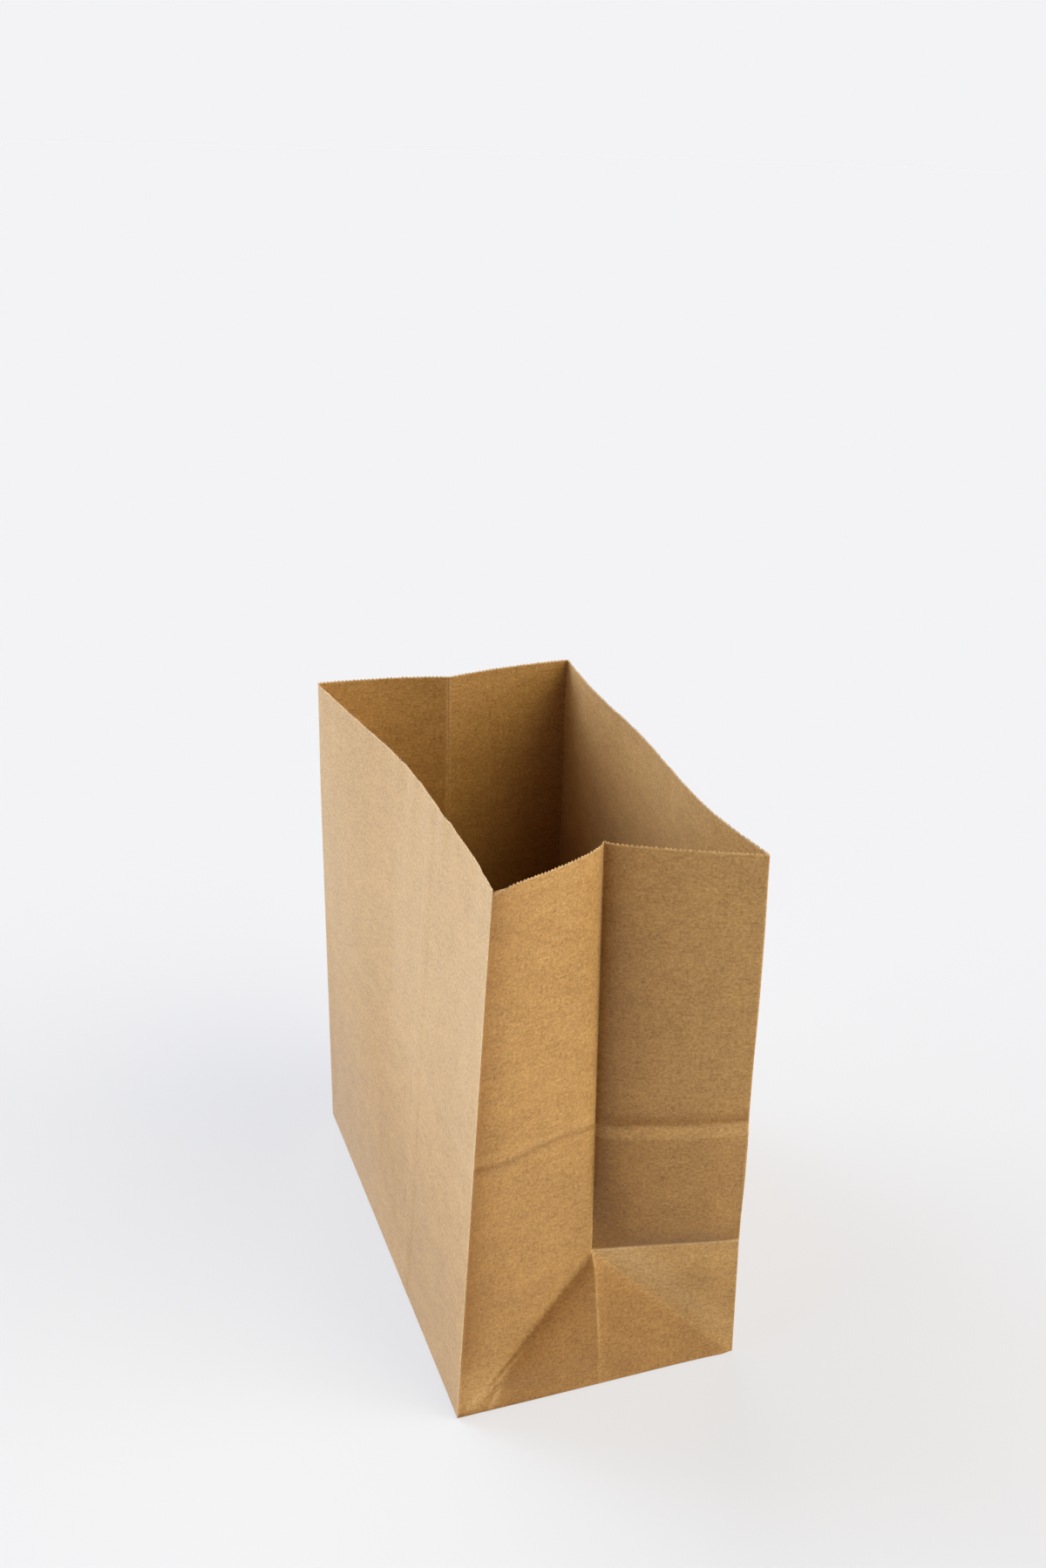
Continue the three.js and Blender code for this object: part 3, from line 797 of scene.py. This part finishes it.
relief = maths("ADD", maths("MULTIPLY", mottle, 0.8), maths("MULTIPLY", fine, 0.35))
relief = maths("ADD", relief, maths("MULTIPLY", cloud, 0.9))
relief = maths("SUBTRACT", relief, maths("MULTIPLY", rising_fibres, 0.8))
bumps = node("ShaderNodeBump", Height=relief, Strength=0.4, Distance=0.00018)

shader = node("ShaderNodeBsdfPrincipled", **{"Base Color": kraft, "Normal": bumps.outputs[0]})
shader.inputs["Roughness"].default_value = 0.55
shader.inputs["Specular IOR Level"].default_value = 0.45
shader.inputs["Sheen Weight"].default_value = 0.45
shader.inputs["Sheen Roughness"].default_value = 0.3
output = node("ShaderNodeOutputMaterial", Surface=shader.outputs[0])
mesh.materials.append(material)

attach(bag, "root")
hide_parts("paper_bag")

# ---------------------------------------------------------------- floor and backdrop
# A wide pale studio floor, matt and lit softly from below, and a lit pale screen far round it
# that gives no light and casts no shadow.
floor_mesh = bpy.data.meshes.new("floor")
floor_mesh.from_pydata(
    [(-30, -30, 0), (30, -30, 0), (30, 30, 0), (-30, 30, 0)], [], [(0, 1, 2, 3)]
)
floor = bpy.data.objects.new("floor", floor_mesh)
bpy.context.collection.objects.link(floor)
studio_paint = bpy.data.materials.new("pale_floor")
studio_paint.use_nodes = True
floor_shader = studio_paint.node_tree.nodes["Principled BSDF"]
floor_shader.inputs["Base Color"].default_value = (0.211, 0.209, 0.221, 1)
floor_shader.inputs["Roughness"].default_value = 1.0
floor_shader.inputs["Specular IOR Level"].default_value = 0.0
floor_shader.inputs["Emission Color"].default_value = (0.58, 0.58, 0.594, 1)
floor_shader.inputs["Emission Strength"].default_value = 1.0
floor_mesh.materials.append(studio_paint)

backdrop_mesh = bpy.data.meshes.new("backdrop")
SCREEN_SIDES = 48
SCREEN_DISTANCE = 14
SCREEN_HEIGHT = 16
turn = np.linspace(0, 2 * np.pi, SCREEN_SIDES, endpoint=False)
foot = SCREEN_DISTANCE * np.column_stack([np.cos(turn), np.sin(turn), np.zeros(SCREEN_SIDES)])
k = np.arange(SCREEN_SIDES)
k2 = (k + 1) % SCREEN_SIDES
screen_points = np.concatenate([foot, foot + [0, 0, SCREEN_HEIGHT]])
screen_faces = np.stack([k2, k, k + SCREEN_SIDES, k2 + SCREEN_SIDES], 1)
backdrop_mesh.from_pydata(screen_points.tolist(), [], screen_faces.tolist())
backdrop = bpy.data.objects.new("backdrop", backdrop_mesh)
bpy.context.collection.objects.link(backdrop)
lit_screen = bpy.data.materials.new("lit_screen")
lit_screen.use_nodes = True
screen_shader = lit_screen.node_tree.nodes["Principled BSDF"]
screen_shader.inputs["Base Color"].default_value = (0, 0, 0, 1)
screen_shader.inputs["Specular IOR Level"].default_value = 0.0
screen_shader.inputs["Emission Color"].default_value = (0.896, 0.896, 0.913, 1)
screen_shader.inputs["Emission Strength"].default_value = 1.0
backdrop_mesh.materials.append(lit_screen)
backdrop.visible_shadow = False
backdrop.visible_diffuse = False

# ---------------------------------------------------------------- light and camera
# Wide soft daylight in a dark room: most of it from the far side and from the front panel's side,
# a weaker part from behind the near gusset, so that its two halves differ.
world = bpy.data.worlds.new("studio")
world.use_nodes = True
world.node_tree.nodes["Background"].inputs[0].default_value = (1, 1, 1, 1)
world.node_tree.nodes["Background"].inputs[1].default_value = 0.0
bpy.context.scene.world = world


def sun(name, source, strength, colour=(1, 1, 1), angle=36):
    """A distant light that comes from the given direction, with a wide soft disc."""
    light = bpy.data.lights.new(name, "SUN")
    light.angle = np.radians(angle)
    light.energy = strength
    light.color = colour
    lamp = bpy.data.objects.new(name, light)
    z = np.array(source, float)
    z /= np.linalg.norm(z)
    x = np.cross([0, 0.01, 1], z)
    x /= np.linalg.norm(x)
    y = np.cross(z, x)
    lamp.matrix_world = Matrix([[*row, 0] for row in np.stack([x, y, z], 1)] + [[0, 0, 0, 1]])
    bpy.context.collection.objects.link(lamp)


sun("far_side", (-0.74, 0, 0.67), 1.05)
sun("far_front_low", (-0.67, -0.67, 0.31), 2.5, (0.76, 0.87, 1))
sun("far_front_high", (-0.5, -0.5, 0.71), 1.28, (0.77, 0.87, 1))
sun("front_side", (0, -0.87, 0.5), 0.8, (0.97, 1, 0.97))
sun("near_side", (0.67, 0.31, 0.67), 0.7, (1, 0.92, 0.55))
sun("near_back_high", (0.45, 0.45, 0.77), 1.32, (1, 0.93, 0.72))
sun("near_back_low", (0.38, 0.82, 0.42), 1.7, (1, 0.96, 0.9))
sun("back_low", (0, 0.95, 0.31), 0.4)

# The camera looks down on the near gusset from its right.
CAMERA_PLACE = (0.8007, -0.2993, 0.7057)
azimuth, elevation, roll = np.radians([69.69, 24.26, 1.82])
away = np.array([
    np.sin(azimuth) * np.cos(elevation), -np.cos(azimuth) * np.cos(elevation), np.sin(elevation),
])
right = np.array([np.cos(azimuth), np.sin(azimuth), 0])
over = np.cross(away, right)
turned_right = np.cos(roll) * right + np.sin(roll) * over
turned_over = np.cos(roll) * over - np.sin(roll) * right
lens = bpy.data.cameras.new("camera")
lens.sensor_fit = "VERTICAL"
lens.sensor_height = 36
lens.lens = 36.77
camera = bpy.data.objects.new("camera", lens)
rows_of_place = zip(turned_right, turned_over, away, CAMERA_PLACE)
camera.matrix_world = Matrix([list(row) for row in rows_of_place] + [[0, 0, 0, 1]])
bpy.context.collection.objects.link(camera)
bpy.context.scene.camera = camera
bpy.context.scene.view_settings.view_transform = "Standard"
